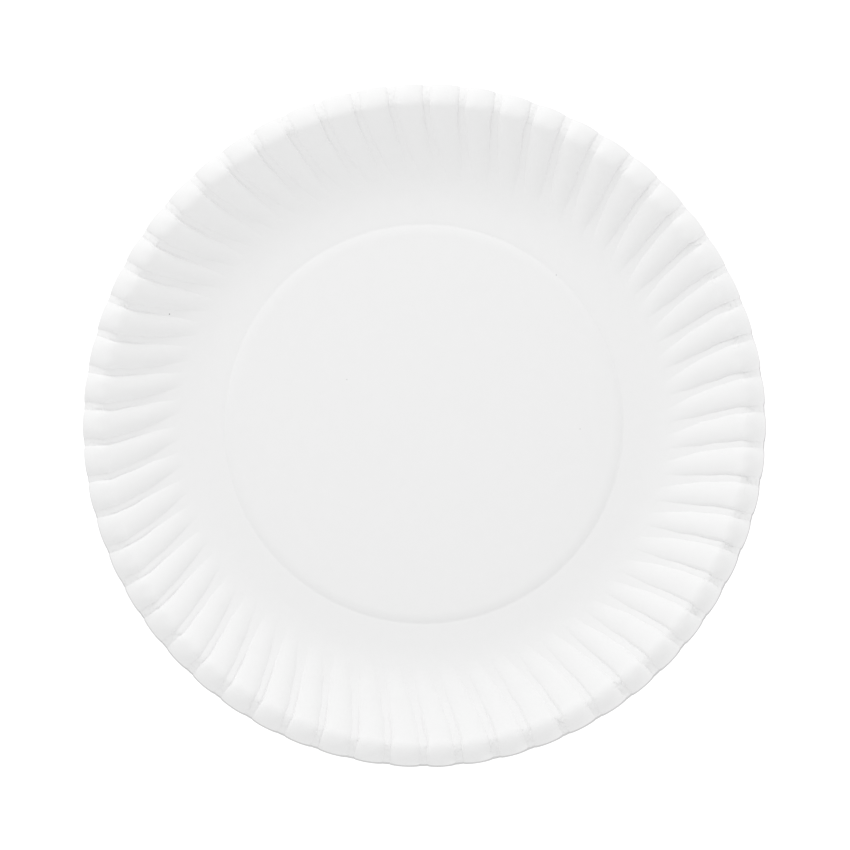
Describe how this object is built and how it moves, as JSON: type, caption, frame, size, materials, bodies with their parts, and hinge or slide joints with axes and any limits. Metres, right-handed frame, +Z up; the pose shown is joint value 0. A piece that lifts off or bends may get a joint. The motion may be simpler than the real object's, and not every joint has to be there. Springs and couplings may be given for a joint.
{
  "type": "paper plate",
  "caption": "Round disposable paper plate with a raised centre panel, a sloping fluted wall and a rolled fluted rim.",
  "frame": {"origin": "under the middle of the plate, on the plane that its foot ring rests on", "axes": "+Z up through the middle of the plate, out of the side that holds food; +X and +Y across the plate"},
  "size_m": [0.2286, 0.2284, 0.0159],
  "materials": {
    "paperboard": "matte"
  },
  "bodies": {
    "root": {"plate": "paperboard"}
  },
  "joints": []
}
